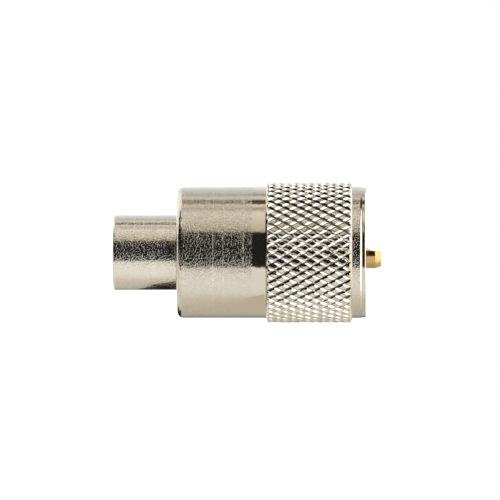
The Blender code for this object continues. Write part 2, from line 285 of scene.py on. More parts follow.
def eased(outline, reach, closed):
    """Rounds the corners of an outline of (radius, height) points, over a reach on each side of a corner."""
    points = [Vector(point) for point in outline]
    result = []
    for index, corner in enumerate(points):
        if not closed and index in (0, len(points) - 1):
            result.append(tuple(corner))
            continue
        before = points[index - 1] - corner
        after = points[(index + 1) % len(points)] - corner
        if (-before).angle(after) < math.radians(CORNER_ABOVE_DEG):
            result.append(tuple(corner))
            continue
        start = corner + before.normalized() * min(reach, EASE_SHARE * before.length)
        end = corner + after.normalized() * min(reach, EASE_SHARE * after.length)
        result += [tuple(start), tuple((start + 2 * corner + end) / 4), tuple(end)]
    return held(result, reach, closed)


def turned(outline, steps):
    """Spins a closed outline of (radius, height) points a full turn round the plug's axis."""
    bm = bmesh.new()
    corners = [bm.verts.new((radius, 0.0, height)) for radius, height in outline]
    edges = [bm.edges.new(pair) for pair in zip(corners, corners[1:] + corners[:1])]
    bmesh.ops.spin(
        bm, geom=corners + edges, cent=(0, 0, 0), axis=(0, 0, 1), angle=math.tau, steps=steps, use_merge=True
    )
    bmesh.ops.remove_doubles(bm, verts=bm.verts, dist=MERGE_DISTANCE)
    bmesh.ops.recalc_face_normals(bm, faces=bm.faces)
    return bm


def add_object(name, bm):
    """Makes an object of a bmesh."""
    mesh = bpy.data.meshes.new(name)
    bm.to_mesh(mesh)
    bm.free()
    item = bpy.data.objects.new(name, mesh)
    bpy.context.scene.collection.objects.link(item)
    return item


def apply_modifiers(item):
    """Makes a piece's modifiers part of its mesh."""
    bpy.context.view_layer.update()
    graph = bpy.context.evaluated_depsgraph_get()
    mesh = bpy.data.meshes.new_from_object(item.evaluated_get(graph))
    item.modifiers.clear()
    item.data = mesh


def cut(item, cutter):
    """Cuts a closed shape out of a piece, and removes the cutter."""
    boolean = item.modifiers.new("Cut", "BOOLEAN")
    boolean.operation = "DIFFERENCE"
    boolean.solver = "EXACT"
    boolean.object = cutter
    apply_modifiers(item)
    bpy.data.objects.remove(cutter, do_unlink=True)


def dress(item, body, node, finishes):
    """Shades a piece, gives it its finishes, and puts it in its node's place on the frame."""
    item.data.shade_smooth()
    item.data.set_sharp_from_angle(angle=math.radians(SHARP_ABOVE_DEG))
    for finish in finishes:
        item.data.materials.append(finish)
    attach(item, body)
    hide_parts(node)


def add_node(tree, kind, inputs=None, **options):
    """Adds a shader node, sets its options, and fills its inputs with values or links."""
    node = tree.nodes.new("ShaderNode" + kind)
    for option, value in options.items():
        setattr(node, option, value)
    for socket, value in (inputs or {}).items():
        if isinstance(value, bpy.types.NodeSocket):
            tree.links.new(value, node.inputs[socket])
        else:
            node.inputs[socket].default_value = value
    return node


def new_finish(name, metallic, roughness):
    """Starts a material, and gives its node tree and its shader."""
    finish = bpy.data.materials.new(name)
    finish.use_nodes = True
    shader = finish.node_tree.nodes["Principled BSDF"]
    shader.inputs["Metallic"].default_value = metallic
    shader.inputs["Roughness"].default_value = roughness
    return finish, finish.node_tree, shader


def in_millimetres(tree):
    """The place on a piece, counted in millimetres."""
    place = add_node(tree, "TexCoord").outputs["Object"]
    return add_node(tree, "Mapping", {"Vector": place, "Scale": (1 / MM, 1 / MM, 1 / MM)}).outputs["Vector"]


def mottle(tree, shader, noise, first, second):
    """Lets the colour of a surface wander between two colours, in the patches of a noise."""
    patch = add_node(tree, "TexNoise", noise)
    tint = add_node(
        tree, "Mix", {"Factor": patch.outputs["Fac"], "A": first, "B": second}, data_type="RGBA"
    )
    tree.links.new(tint.outputs[2], shader.inputs["Base Color"])


def ripple(tree, shader, height, distance):
    """Lets a surface rise and fall with a height from 0 to 1, by a distance."""
    bumped = add_node(tree, "Bump", {"Height": height, "Strength": 1.0, "Distance": distance})
    tree.links.new(bumped.outputs["Normal"], shader.inputs["Normal"])


def relief(tree, place, per_mm, levels, distance, normal=None):
    """Pits or strokes: where a noise rises between two levels, the surface steps up by a distance."""
    stretched = add_node(tree, "Mapping", {"Vector": place, "Scale": per_mm}).outputs["Vector"]
    height = add_node(tree, "TexNoise", {"Vector": stretched, "Scale": 1.0, "Detail": 1.5})
    low, high = levels
    step = add_node(tree, "MapRange", {"Value": height.outputs["Fac"], "From Min": low, "From Max": high})
    inputs = {"Height": step.outputs["Result"], "Strength": 1.0, "Distance": distance}
    if normal:
        inputs["Normal"] = normal
    return add_node(tree, "Bump", inputs).outputs["Normal"]


# How many waves and strokes of the plated metal there are in each millimetre across the plug and along it,
# and between which levels of a noise each kind of relief steps up
WAVES_PER_MM = (0.8, 0.8, 1.4)
WAVE_LEVELS = (0.2, 0.8)
STROKES_ACROSS = 0.35
STROKE_LEVELS = (0.56, 0.68)
PIT_LEVELS = (0.48, 0.6)


def nickel_plate(name, looks, roughness, strokes, pits, waves, plate=None):
    """Bright nickel plate over turned brass. It mirrors the room like a slightly yellow chrome, broken up by
    short strokes of the lathe tool, by the pits of the plated metal and by slow waves. Strokes, pits and
    waves are shares of their depth in the looks, and a plate is one colour all over."""
    finish, tree, shader = new_finish(name, metallic=1.0, roughness=roughness)
    place = in_millimetres(tree)
    if plate is None:
        noise = {"Vector": place, "Scale": 0.35, "Detail": 4.0, "Roughness": 0.6}
        mottle(tree, shader, noise, looks.nickel, looks.nickel_warm)
    else:
        shader.inputs["Base Color"].default_value = plate
    normal = None
    if waves:
        normal = relief(tree, place, WAVES_PER_MM, WAVE_LEVELS, looks.wave_depth * waves)
    if strokes:
        per_mm = (STROKES_ACROSS, STROKES_ACROSS, MM / looks.stroke_spacing)
        normal = relief(tree, place, per_mm, STROKE_LEVELS, looks.stroke_depth * strokes, normal)
    if pits:
        per_mm = (MM / looks.pit_size,) * 3
        normal = relief(tree, place, per_mm, PIT_LEVELS, looks.pit_depth * pits, normal)
    if normal:
        tree.links.new(normal, shader.inputs["Normal"])
    return finish


def gold_plate(looks):
    """Thin bright gold over turned brass: a warm mirror with faint lathe circles."""
    finish, tree, shader = new_finish("bright_gold_plate", metallic=1.0, roughness=0.14)
    place = in_millimetres(tree)
    mottle(tree, shader, {"Vector": place, "Scale": 1.2, "Detail": 3.0}, looks.gold, looks.gold_deep)
    # The real circles are too fine to show, so only about six are drawn in each millimetre
    circles = add_node(tree, "Mapping", {"Vector": place, "Scale": (0.4, 0.4, 6.0)})
    lathe = add_node(tree, "TexNoise", {"Vector": circles.outputs["Vector"], "Scale": 1.0, "Detail": 2.0})
    ripple(tree, shader, lathe.outputs["Fac"], 0.002 * MM)
    return finish


def white_fluoropolymer(looks):
    """Turned fluoropolymer: waxy white, a little see-through, with soft rings from the tool."""
    finish, tree, shader = new_finish("turned_fluoropolymer", metallic=0.0, roughness=0.42)
    shader.inputs["IOR"].default_value = 1.38
    shader.inputs["Subsurface Weight"].default_value = 0.4
    shader.inputs["Subsurface Radius"].default_value = (0.6 * MM, 0.55 * MM, 0.5 * MM)
    shader.inputs["Subsurface Scale"].default_value = 1.0
    place = in_millimetres(tree)
    noise = {"Vector": place, "Scale": 0.7, "Detail": 3.0}
    mottle(tree, shader, noise, looks.fluoropolymer, looks.fluoropolymer_cloud)
    # The tool's real rings are too fine to show, so they are drawn a few to the millimetre
    rings = add_node(
        tree,
        "TexWave",
        {"Vector": place, "Scale": 0.8, "Distortion": 0.3, "Detail": 2.0},
        wave_type="RINGS",
        rings_direction="Z",
    )
    ripple(tree, shader, rings.outputs["Fac"], 0.006 * MM)
    return finish


def set_radius(vert, radius):
    """Moves a vertex straight out or in, to a radius."""
    scale = radius / math.hypot(vert.co.x, vert.co.y)
    vert.co.x *= scale
    vert.co.y *= scale


def trim(bm, height, side, clear=True):
    """Cuts a mesh flat at a height. What lies over it (side 1) or under it (side -1) is cleared away, or
    kept with a row of edges at the cut."""
    bmesh.ops.bisect_plane(
        bm,
        geom=list(bm.verts) + list(bm.edges) + list(bm.faces),
        dist=MERGE_DISTANCE,
        plane_co=(0, 0, height),
        plane_no=(0, 0, side),
        clear_outer=clear,
    )


def extruded_loop(bm, edges, radius, height):
    """Extrudes an open loop of edges to a new radius and height, and gives the new loop."""
    extruded = bmesh.ops.extrude_edge_only(bm, edges=edges)["geom"]
    for vert in extruded:
        if isinstance(vert, bmesh.types.BMVert):
            set_radius(vert, radius)
            vert.co.z = height
    return [edge for edge in extruded if isinstance(edge, bmesh.types.BMEdge) and edge.is_boundary]


def knurl_lattice(bm, teeth, rows, back, half_along, radius):
    """Covers a cylinder with diamonds whose edges are the bottoms of the grooves."""
    bmesh.ops.create_grid(bm, x_segments=teeth, y_segments=rows, size=1.0)
    row_of = {}
    for vert in bm.verts:
        row = round((vert.co.y + 1.0) / 2.0 * rows)
        column = (vert.co.x + 1.0) / 2.0 * teeth + 0.5 * (row % 2)
        angle = math.tau * column / teeth
        vert.co = (radius * math.cos(angle), radius * math.sin(angle), back + half_along * row)
        row_of[vert] = row
    bmesh.ops.triangulate(bm, faces=bm.faces, quad_method="SHORT_EDGE")
    along_rows = [edge for edge in bm.edges if row_of[edge.verts[0]] == row_of[edge.verts[1]]]
    hidden = [edge for edge in along_rows if 0 < row_of[edge.verts[0]] < rows]
    bmesh.ops.dissolve_edges(bm, edges=hidden, use_verts=False)
    bmesh.ops.remove_doubles(bm, verts=bm.verts, dist=MERGE_DISTANCE)
    bmesh.ops.subdivide_edges(bm, edges=bm.edges, cuts=1)
    for vert in bm.verts:
        set_radius(vert, radius)
    # A whole diamond has a vertex at each corner and one in the middle of each side
    return [face for face in bm.faces if len(face.verts) == 8]


def groove_steps(knurl):
    """Half a groove's section as (distance, height) points: from its bottom up the straight flank, and round
    the edge of the diamond to its nearly level top."""
    slope = knurl.flank
    straight = (knurl.depth - knurl.crown - knurl.edge_round * (1 - math.cos(slope))) / math.sin(slope)
    rounded_bottom = 0.3 * knurl.bottom * math.tan(slope)
    points = [(knurl.bottom, rounded_bottom)]
    distance = knurl.bottom + straight * math.cos(slope) + knurl.edge_round * math.sin(slope)
    height = knurl.depth - knurl.crown
    for part in (1.0, 0.8, 0.6, 0.4, 0.2, 0.0):
        inward = knurl.edge_round * math.sin(slope * part)
        down = knurl.edge_round * (1 - math.cos(slope * part))
        points.append((distance - inward, height - down))
    return points


def raise_diamonds(bm, diamonds, knurl, half_round, half_along, crest):
    """Raises the diamonds between the grooves. Each ring of a diamond is its outline drawn in towards its
    centre, so that the grooves keep one width."""
    on_axis = 0.01
    dice = random.Random(11)
    inscribed = half_round * half_along / math.hypot(half_round, half_along)
    steps = groove_steps(knurl)
    top = knurl.depth
    root = crest - top
    for vert in bm.verts:
        set_radius(vert, root)
    cells = []
    for face in diamonds:
        center = face.calc_center_median()
        rise = dice.uniform(-2.0, 0.0) * knurl.unevenness
        lean = [dice.uniform(-1.0, 1.0) * knurl.lean for _ in range(2)]
        lean[0] += knurl.tile
        cells.append((face, math.atan2(center.y, center.x), center.z, rise, lean))
    before = 0.0
    pulled = 1.0
    for distance, height in steps:
        bmesh.ops.inset_individual(bm, faces=diamonds, thickness=0.0, depth=0.0)
        shrink = (inscribed - distance) / (inscribed - before)
        reach = 1.0 - knurl.corner_round * height / top
        for face, angle, middle, rise, lean in cells:
            for vert in face.verts:
                around = math.atan2(vert.co.y, vert.co.x) - angle
                around = ((around + math.pi) % math.tau - math.pi) * shrink
                along = (vert.co.z - middle) * shrink
                # Only the diamond's four corners lie on its axes, and they are drawn in a little more
                if min(abs(around) * crest / half_round, abs(along) / half_along) < on_axis:
                    around *= reach / pulled
                    along *= reach / pulled
                stray = rise + lean[0] * around * root + lean[1] * along
                radius = min(root + height + stray * height / top, crest)
                turn = angle + around
                vert.co = (radius * math.cos(turn), radius * math.sin(turn), middle + along)
        before = distance
        pulled = reach
    bmesh.ops.poke(bm, faces=diamonds, offset=top - steps[-1][1], center_mode="MEAN")


def knurl_band(bm, knurl, back, front, crest):
    """The knurled band between two heights, cut flat at both ends and bevelled there."""
    half_round = math.pi * crest / knurl.teeth
    half_along = (front - back) / knurl.bands
    rows = knurl.bands + 2
    diamonds = knurl_lattice(bm, knurl.teeth, rows, back - half_along, half_along, crest)
    raise_diamonds(bm, diamonds, knurl, half_round, half_along, crest)
    trim(bm, back, -1)
    trim(bm, back + knurl.crest_bevel, 1, clear=False)
    trim(bm, front - knurl.crest_bevel, 1, clear=False)
    trim(bm, front, 1)
    for vert in bm.verts:
        from_end = min(vert.co.z - back, front - vert.co.z)
        highest = crest - max(knurl.crest_bevel - from_end, 0.0)
        if math.hypot(vert.co.x, vert.co.y) > highest:
            set_radius(vert, highest)


def circle(bm, radius, height, steps):
    """A ring of edges round the plug's axis."""
    made = bmesh.ops.create_circle(bm, cap_ends=False, radius=radius, segments=steps)
    bmesh.ops.translate(bm, verts=made["verts"], vec=(0, 0, height))
    return list({edge for vert in made["verts"] for edge in vert.link_edges})


def thread_wall(ring, low, high):
    """Winds one outline of the thread up the bore, and trims it flat at both ends."""
    rise = ring.thread_pitch
    flank = (ring.thread_root - ring.thread_crest) * math.tan(ring.thread_flank)
    root_flat = rise / 8
    # The winding starts under the bore and ends over it, so that both ends can be trimmed
    start = low - 1.5 * rise
    turns = math.ceil((high - low) / rise) + 3
    outline = [
        (ring.thread_root, start),
        (ring.thread_root, start + root_flat),
        (ring.thread_crest, start + root_flat + flank),
        (ring.thread_crest, start + rise - flank),
        (ring.thread_root, start + rise),
    ]
    bm = bmesh.new()
    corners = [bm.verts.new((radius, 0.0, height)) for radius, height in outline]
    edges = [bm.edges.new(pair) for pair in zip(corners, corners[1:])]
    bmesh.ops.spin(
        bm,
        geom=corners + edges,
        cent=(0, 0, 0),
        axis=(0, 0, 1),
        dvec=(0, 0, rise / THREAD_SEGMENTS),
        angle=math.tau * turns,
        steps=THREAD_SEGMENTS * turns,
    )
    bmesh.ops.remove_doubles(bm, verts=bm.verts, dist=MERGE_DISTANCE)
    trim(bm, low, -1)
    trim(bm, high, 1)
    # A cone of 45 degrees cuts the crests away towards the mouth
    widest = ring.thread_root + 0.03 * MM
    for vert in bm.verts:
        cone = widest - (high - vert.co.z)
        if math.hypot(vert.co.x, vert.co.y) < cone:
            set_radius(vert, cone)
    mesh = bpy.data.meshes.new("thread_wall")
    bm.to_mesh(mesh)
    bm.free()
    return mesh


# The finishes of the ring, in the order of its material slots; the first is the turned plate
POLISHED_FINISH = 1
KNURLED_FINISH = 2
THREADED_FINISH = 3


def coupling_ring_mesh(ring, knurl):
    """The turned and knurled ring, as one closed wall: knurl first, then out from both its ends, and in
    through the neck and the threaded bore."""
    bm = bmesh.new()
    front = RING_HIGH.z
    back = RING_LOW.z
    step = back + ring.neck_length
    knurl_front = front - ring.rim_length
    knurl_back = knurl_front - knurl.length_along
    lattice_back = knurl_back + knurl.end_bevel
    lattice_front = knurl_front - knurl.end_bevel
    knurl_band(bm, knurl, lattice_back, lattice_front, RING_HIGH.x)
    knurl_faces = list(bm.faces)
    middle = (knurl_back + knurl_front) / 2
    polished = ring.sleeve - ring.polished_drop
    ends = [edge for edge in bm.edges if edge.is_boundary]
    back_loop = circle(bm, polished, knurl_back, RING_SEGMENTS)
    front_loop = circle(bm, ring.sleeve, knurl_front, RING_SEGMENTS)
    bmesh.ops.bridge_loops(bm, edges=back_loop + [edge for edge in ends if edge.verts[0].co.z < middle])
    bmesh.ops.bridge_loops(bm, edges=front_loop + [edge for edge in ends if edge.verts[0].co.z > middle])

    lip = ring.sleeve - ring.rim_drop
    drop = front - ring.rim_drop_front
    lip_length = ring.rim_drop_front - ring.rim_chamfer
    # Two more points keep the lip straight, so it mirrors one clean dark line up to the edge
    lip_holds = [(lip - part * ring.lip_taper, drop + part * lip_length) for part in (0.2, 0.8)]
    forward = [
        (ring.sleeve, knurl_front),
        (ring.sleeve, drop - ring.rim_drop_slope),
        (lip, drop),
        *lip_holds,
        (lip - ring.lip_taper, front - ring.rim_chamfer),
        (lip - ring.lip_taper - ring.rim_chamfer, front),
        (ring.thread_root + ring.mouth_gap, front),
    ]
    for radius, height in eased(forward, ring.edge_ease, False)[1:]:
        front_loop = extruded_loop(bm, front_loop, radius, height)

    polished_back = knurl_back - ring.polished_length
    rear_center = (ring.sleeve - ring.rear_round, back + ring.rear_round)
    marks = []
    half = ring.tool_mark_half
    for mark in sorted(ring.tool_marks, reverse=True):
        marks.append((ring.sleeve, back + mark + half))
        marks.append((ring.sleeve - ring.tool_mark_depth, back + mark))
        marks.append((ring.sleeve, back + mark - half))
    backward = [
        (polished, knurl_back),
        (polished, polished_back),
        (ring.sleeve, polished_back - ring.polished_drop),
        *marks,
        *arc(rear_center, ring.rear_round, 0, -90, steps=10),
        (ring.neck + ring.neck_chamfer, back),
        (ring.neck, back + ring.neck_chamfer),
        (ring.neck, step),
        (ring.relief, step),
        (ring.relief, step + ring.relief_length),
    ]
    for radius, height in eased(backward, ring.edge_ease, False)[1:]:
        back_loop = extruded_loop(bm, back_loop, radius, height)

    # The thread is wound on its own, a little short of both ends, and joined to them
    short = 0.02 * MM
    thread = thread_wall(ring, step + ring.relief_length + short, front - short)
    bm.from_mesh(thread)
    bpy.data.meshes.remove(thread)
    open_edges = [edge for edge in bm.edges if edge.is_boundary]
    for above in (True, False):
        ends = [edge for edge in open_edges if (edge.verts[0].co.z > middle) == above]
        bmesh.ops.bridge_loops(bm, edges=ends)
    bmesh.ops.recalc_face_normals(bm, faces=bm.faces)

    inside = ring.relief + 0.05 * MM
    for face in bm.faces:
        center = face.calc_center_median()
        polished_strip = polished_back < center.z < lattice_back
        polished_lip = center.z > drop - ring.rim_drop_slope
        if math.hypot(center.x, center.y) < inside:
            face.material_index = THREADED_FINISH
        elif polished_strip or polished_lip:
            face.material_index = POLISHED_FINISH
    for face in knurl_faces:
        face.material_index = KNURLED_FINISH
    return bm


class OBJECT_OT_uhf_coupling_ring(bpy.types.Operator):
    """Model the knurled coupling ring with its internal thread"""

    bl_idname = "object.uhf_coupling_ring"
    bl_label = "Coupling Ring"

    def execute(self, context):
        looks = context.scene.uhf_finishes
        mesh = coupling_ring_mesh(context.scene.uhf_ring, context.scene.uhf_knurl)
        item = add_object("knurled_coupling_ring", mesh)
        finishes = [
            nickel_plate("turned_nickel_plate", looks, roughness=0.1, strokes=1.0, pits=1.0, waves=1.0),
            nickel_plate("polished_nickel_plate", looks, roughness=0.08, strokes=0.2, pits=0.0, waves=1.0),
            nickel_plate(
                "knurled_nickel_plate",
                looks,
                roughness=0.06,
                strokes=0.0,
                pits=0.25,
                waves=0.0,
                plate=looks.nickel_knurl,
            ),
            nickel_plate("threaded_nickel_plate", looks, roughness=0.2, strokes=0.3, pits=0.6, waves=1.0),
        ]
        dress(item, "coupling_ring", "coupling_ring", finishes)
        return {"FINISHED"}


def tang_faces(bm, body, rim):
    """The faces of the collar's rim that carry the locating tangs."""
    inner = body.seat + body.tang_inset
    outer = body.collar - body.tang_inset
    half_sweep = body.tang_width / outer / 2
    quarter = math.tau / 4
    chosen = []
    for face in bm.faces:
        center = face.calc_center_median()
        radius = math.hypot(center.x, center.y)
        off = (math.atan2(center.y, center.x) + quarter / 2) % quarter - quarter / 2
        if abs(center.z - rim) < LEVEL_WITHIN and inner < radius < outer and abs(off) < half_sweep:
            chosen.append(face)
    return chosen


def connector_body_mesh(body):
    """The turned body: tail, barrel, flange and collar outside, cable bore and insulator seat inside."""
    flange_back = body.tail_length + body.barrel_length
    flange_front = flange_back + body.flange_thickness
    rim = flange_front + body.collar_height
    seat_floor = INSULATOR_LOW.z - body.seat_gap
    round_center = (body.tail - body.tail_round, body.tail_round)
    outline = [
        (body.seat, rim),
        (body.collar, rim),
        (body.collar, flange_front),
        (body.flange - body.flange_chamfer, flange_front),
        (body.flange, flange_front - body.flange_chamfer),
        (body.flange, flange_back),
        (body.barrel, flange_back),
        (body.barrel, body.tail_length + body.barrel_chamfer),
        (body.barrel - body.barrel_chamfer, body.tail_length),
        (body.tail, body.tail_length),
        *arc(round_center, body.tail_round, 0, -90, steps=6),
        (body.cable_bore + body.bore_chamfer, 0.0),
        (body.cable_bore, body.bore_chamfer),
        (body.cable_bore, seat_floor),
        (body.seat, seat_floor),
    ]
    outline = eased(outline, body.edge_ease, True)
    at_rim = [index for index, (_, height) in enumerate(outline) if abs(height - rim) < MERGE_DISTANCE]
    inner, outer = (body.seat + body.tang_inset, rim), (body.collar - body.tang_inset, rim)
    outline[at_rim[0] + 1 : at_rim[0] + 1] = [inner, outer]
    bm = turned(outline, BODY_SEGMENTS)
    tangs = bmesh.ops.extrude_face_region(bm, geom=tang_faces(bm, body, rim))["geom"]
    raised = [vert for vert in tangs if isinstance(vert, bmesh.types.BMVert)]
    bmesh.ops.translate(bm, verts=raised, vec=(0, 0, body.tang_height))
    bmesh.ops.delete(bm, geom=tang_faces(bm, body, rim), context="FACES_ONLY")
    return bm


def solder_drill(body, index):
    """One drill across the whole barrel, which makes two opposite solder holes."""
    bm = bmesh.new()
    bmesh.ops.create_cone(
        bm,
        cap_ends=True,
        segments=DRILL_SEGMENTS,
        radius1=body.solder_hole,
        radius2=body.solder_hole,
        depth=4 * body.barrel,
    )
    # Rolled a little on its own axis, so that none of its edges runs along an edge of the body
    roll = Matrix.Rotation(math.radians(2.0), 4, "Z")
    lay_down = Matrix.Rotation(math.pi / 2, 4, "Y")
    turn = Matrix.Rotation(math.pi / 2 * index, 4, "Z")
    lift = Matrix.Translation((0, 0, body.tail_length + body.solder_hole_offset))
    bmesh.ops.transform(bm, verts=bm.verts, matrix=lift @ turn @ lay_down @ roll)
    return add_object(f"solder_drill_{index + 1}", bm)


class OBJECT_OT_uhf_connector_body(bpy.types.Operator):
    """Model the turned body with its solder holes and locating tangs"""

    bl_idname = "object.uhf_connector_body"
    bl_label = "Connector Body"

    def execute(self, context):
        body = context.scene.uhf_body
        looks = context.scene.uhf_finishes
        item = add_object("turned_connector_body", connector_body_mesh(body))
        for index in range(2):
            cut(item, solder_drill(body, index))
        satin = nickel_plate(
            "satin_nickel_plate",
            looks,
            roughness=0.1,
            strokes=1.0,
            pits=1.0,
            waves=0.4,
            plate=looks.nickel_body,
        )
        dress(item, "plug_body", "connector_body", [satin])
        return {"FINISHED"}


class OBJECT_OT_uhf_insulator(bpy.types.Operator):
    """Model the white insulator"""

    bl_idname = "object.uhf_insulator"
    bl_label = "Insulator"

    def execute(self, context):
        inner = context.scene.uhf_inner
        looks = context.scene.uhf_finishes
        outer = INSULATOR_HIGH.x
        pocket_floor = INSULATOR_LOW.z + inner.pocket_depth
        outline = [
            (outer, INSULATOR_HIGH.z),
            (outer, INSULATOR_LOW.z),
            (inner.pocket, INSULATOR_LOW.z),
            (inner.pocket, pocket_floor),
            (inner.disc_bore, pocket_floor),
            (inner.disc_bore, INSULATOR_HIGH.z),
        ]
        outline = eased(outline, inner.disc_chamfer, True)
        item = add_object("white_insulator_disc", turned(outline, PIN_SEGMENTS))
        dress(item, "plug_body", "insulator", [white_fluoropolymer(looks)])
        return {"FINISHED"}


def scoop_cutter(inner, tip):
    """The milled cut that opens the contact's tip into a half-round solder cup, on its -X side."""
    arc_height = tip - inner.scoop_length
    clear = 2 * inner.pin
    arc_center = (-inner.scoop_land - inner.scoop_radius, arc_height)
    side = [
        *arc(arc_center, inner.scoop_radius, 0, -90, steps=24),
        (-clear, arc_height - inner.scoop_radius),
        (-clear, tip + clear),
        (-inner.scoop_land, tip + clear),
    ]
    bm = bmesh.new()
    face = bm.faces.new([bm.verts.new((x, -clear, height)) for x, height in side])
    swept = bmesh.ops.extrude_face_region(bm, geom=[face])["geom"]
    far_side = [vert for vert in swept if isinstance(vert, bmesh.types.BMVert)]
    bmesh.ops.translate(bm, verts=far_side, vec=(0, 2 * clear, 0))
    bmesh.ops.recalc_face_normals(bm, faces=bm.faces)
    return add_object("scoop_cutter", bm)


class OBJECT_OT_uhf_center_contact(bpy.types.Operator):
    """Model the hollow gold contact with its cut-open tip"""

    bl_idname = "object.uhf_center_contact"
    bl_label = "Centre Contact"

    def execute(self, context):
        inner = context.scene.uhf_inner
        looks = context.scene.uhf_finishes
        tip = CONTACT_HIGH.z
        tail_end = CONTACT_LOW.z
        flange_back = tail_end + inner.pin_tail
        flange_front = flange_back + inner.pin_flange_thickness
        outline = [
            (inner.nose, tip),
            (inner.pin - inner.edge_ease / 3, tip - inner.nose_length + inner.edge_ease),
            (inner.pin, tip - inner.nose_length - inner.edge_ease),
            (inner.pin, flange_front),
            (inner.pin_flange, flange_front),
            (inner.pin_flange, flange_back),
            (inner.pin, flange_back),
            (inner.pin, tail_end),
            (inner.pin_bore + inner.funnel, tail_end),
            (inner.pin_bore, tail_end + inner.funnel),
            (inner.pin_bore, tip),
        ]
        outline = held(outline, inner.edge_ease, True)
        item = add_object("gold_center_contact", turned(outline, PIN_SEGMENTS))
        cut(item, scoop_cutter(inner, tip))
        ease = item.modifiers.new("Ease", "BEVEL")
        ease.width = inner.edge_ease
        ease.segments = 2
        ease.limit_method = "ANGLE"
        ease.angle_limit = math.radians(EASED_ABOVE_DEG)
        ease.harden_normals = True
        item.modifiers.new("Weld", "WELD").merge_threshold = MERGE_DISTANCE
        apply_modifiers(item)
        dress(item, "plug_body", "center_contact", [gold_plate(looks)])
        return {"FINISHED"}


# Share of the floor that the camera sees as a plain glow, and the glow's strength, which together are white
BOARD_GLOW_SHARE = 0.8
BOARD_GLOW = 1.13


def floor_finish():
    """Matt white board: to the camera it is nearly white paper, with only a weak shadow on it."""
    finish, tree, board = new_finish("white_board", metallic=0.0, roughness=0.8)
    board.inputs["Base Color"].default_value = (0.9, 0.9, 0.9, 1.0)
    glow = add_node(tree, "Emission", {"Color": (1, 1, 1, 1), "Strength": BOARD_GLOW})
    seen = add_node(tree, "LightPath").outputs["Is Camera Ray"]
    weak = add_node(tree, "Math", {0: seen, 1: BOARD_GLOW_SHARE}, operation="MULTIPLY")
    mixed = add_node(
        tree,
        "MixShader",
        {0: weak.outputs["Value"], 1: board.outputs["BSDF"], 2: glow.outputs["Emission"]},
    )
    tree.links.new(mixed.outputs["Shader"], tree.nodes["Material Output"].inputs["Surface"])
    return finish


# The surroundings that the metal mirrors, as (angle, red, green, blue) round the plug: 0 degrees is where the
# camera stands, 90 straight over the plug as the picture shows it, and -90 straight below it. The pale table
# ends at -28. In front the room is dark up to 35, where a warm softbox begins. One dark bar hangs over the
# plug from 97 to 106, and the wall behind it is pale.
FRONT_VIEW = (
    (-180, 0.12, 0.12, 0.12),
    (-171, 0.12, 0.12, 0.12),
    (-163, 0.31, 0.30, 0.28),
    (-147, 0.51, 0.50, 0.44),
    (-136, 0.64, 0.61, 0.53),
    (-110, 0.70, 0.64, 0.56),
    (-91, 0.79, 0.73, 0.66),
    (-81, 0.93, 0.89, 0.86),
    (-72, 1.00, 1.00, 1.00),
    (-28, 1.00, 1.00, 1.00),
    (-25, 0.02, 0.02, 0.02),
    (35, 0.02, 0.02, 0.02),
    (38, 0.58, 0.53, 0.43),
    (42, 0.74, 0.67, 0.55),
    (58, 0.89, 0.82, 0.70),
    (66, 0.95, 0.88, 0.80),
    (74, 1.02, 0.96, 0.90),
    (79, 0.80, 0.74, 0.66),
    (83, 0.52, 0.47, 0.40),
    (88, 0.58, 0.53, 0.46),
    (91, 1.05, 1.00, 0.92),
    (95, 0.85, 0.78, 0.68),
    (97, 0.10, 0.08, 0.05),
    (106, 0.10, 0.08, 0.05),
    (109, 0.84, 0.78, 0.69),
    (117, 0.90, 0.87, 0.81),
    (121, 0.55, 0.52, 0.48),
    (126, 0.48, 0.46, 0.44),
    (131, 0.70, 0.69, 0.71),
    (155, 0.92, 0.93, 0.98),
    (170, 0.92, 0.93, 0.98),
    (174, 0.12, 0.12, 0.12),
)
# The same to the left of the picture, a little and then further out
NEAR_LEFT_VIEW = (
    (-180, 0.90, 0.88, 0.82),
    (-110, 0.80, 0.78, 0.72),
    (-28, 1.15, 1.13, 1.08),
    (-24, 0.02, 0.02, 0.02),
    (46, 0.02, 0.02, 0.02),
    (50, 1.10, 1.06, 1.00),
    (180, 1.00, 1.00, 1.00),
)
LEFT_VIEW = (
    (-180, 1.10, 1.08, 1.02),
    (-110, 0.80, 0.78, 0.72),
    (-70, 0.90, 0.87, 0.80),
    (-37, 1.20, 1.18, 1.14),
    (-32, 0.10, 0.10, 0.09),
    (-4, 0.10, 0.10, 0.09),
    (6, 0.01, 0.01, 0.01),
    (86, 0.01, 0.01, 0.01),
    (90, 1.30, 1.28, 1.24),
    (180, 1.30, 1.28, 1.24),
)
# The same to the right, where a dark post stands in front, between two paler parts of the room
NEAR_RIGHT_VIEW = (
    (-180, 0.60, 0.58, 0.52),
    (-100, 0.50, 0.48, 0.42),
    (-28, 0.75, 0.73, 0.68),
    (-24, 0.02, 0.02, 0.02),
    (60, 0.02, 0.02, 0.02),
    (64, 0.40, 0.37, 0.31),
    (110, 0.40, 0.37, 0.31),
    (120, 0.70, 0.68, 0.64),
    (180, 0.80, 0.80, 0.80),
)
DARK_POST_VIEW = (
    (-180, 0.80, 0.78, 0.72),
    (-28, 0.95, 0.93, 0.88),
    (-24, 0.02, 0.02, 0.02),
    (110, 0.03, 0.03, 0.03),
    (116, 0.50, 0.48, 0.42),
    (180, 0.80, 0.80, 0.80),
)
RIGHT_VIEW = (
    (-180, 1.20, 1.17, 1.10),
    (-110, 0.85, 0.82, 0.75),
    (-60, 2.10, 2.10, 2.20),
)
# Where each view begins, and where it has taken over, in the direction along the plug
SIDE_VIEWS = (
    (-0.10, -0.14, NEAR_LEFT_VIEW),
    (-0.30, -0.36, LEFT_VIEW),
    (0.12, 0.16, NEAR_RIGHT_VIEW),
    (0.19, 0.21, DARK_POST_VIEW),
    (0.31, 0.35, RIGHT_VIEW),
)


